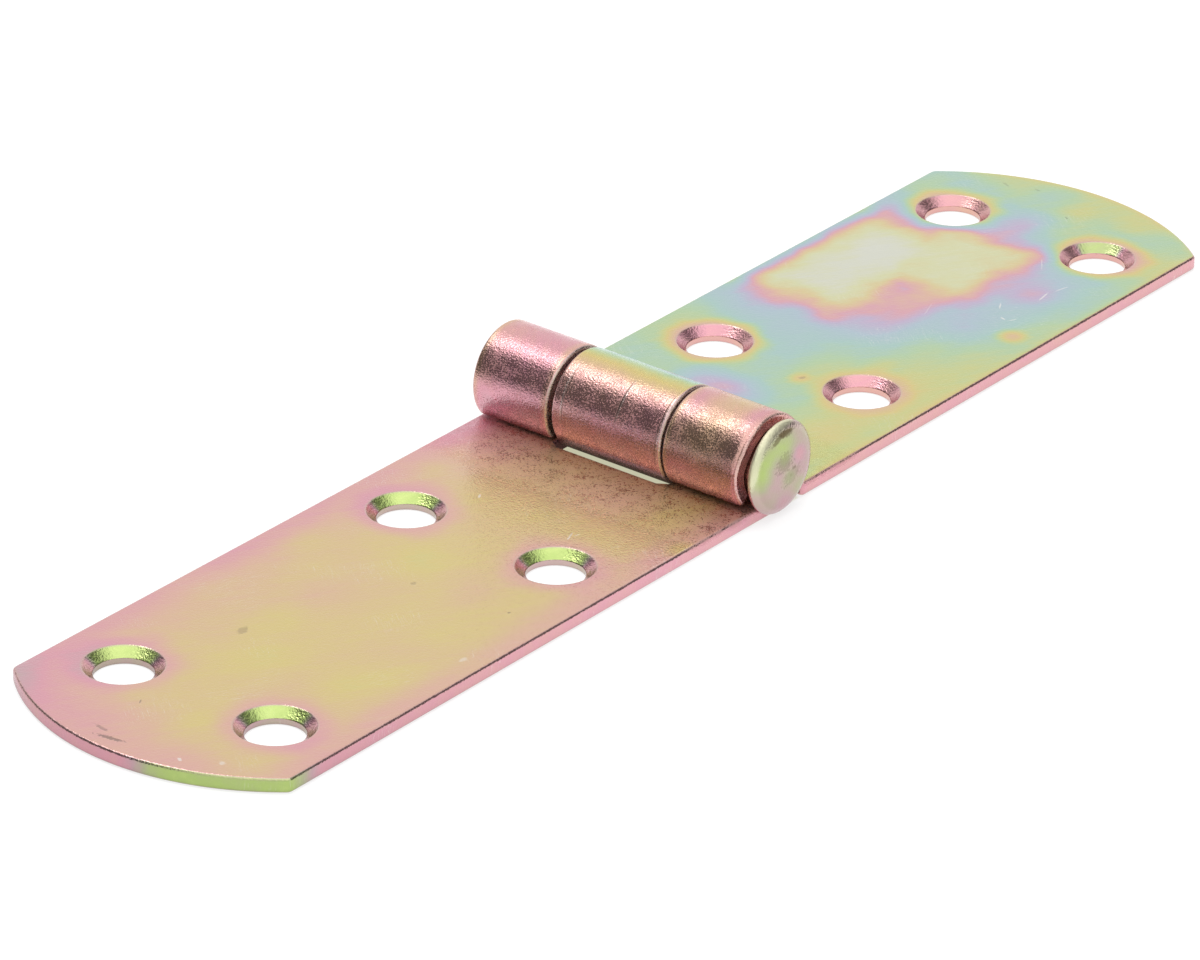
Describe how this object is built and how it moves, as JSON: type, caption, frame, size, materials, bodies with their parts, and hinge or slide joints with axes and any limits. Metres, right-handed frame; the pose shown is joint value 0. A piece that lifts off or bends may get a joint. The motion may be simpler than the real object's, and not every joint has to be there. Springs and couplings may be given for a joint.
{
  "type": "strap hinge",
  "caption": "Flat strap hinge with rolled interleaving knuckles, a headed pin and countersunk screw holes in both round-ended leaves.",
  "frame": {"origin": "on the back plane that both leaves lie on, under the pin's axis, at the middle of the leaves' width", "axes": "+X from the pin towards the far leaf, +Y along the pin away from its head, +Z out of the leaves' faces"},
  "size_m": [0.164, 0.0373, 0.0107],
  "materials": {
    "zinc_strip": "zinc plated and yellow passivated, glossy with a pink and gold sheen",
    "zinc_strip_far": "zinc plated and yellow passivated, glossy with green, blue and pink clouds",
    "zinc_pin": "zinc plated and yellow passivated, glossy"
  },
  "bodies": {
    "near_side": {"near_leaf": "zinc_strip", "pin": "zinc_pin"},
    "far_side": {"far_leaf": "zinc_strip_far"}
  },
  "joints": [
    {"name": "leaf_swing", "type": "hinge", "parent": "near_side", "child": "far_side", "pos_m": [0, 0, 0.00535], "axis": [0, -1, 0], "range_deg": [-77, 185]}
  ]
}
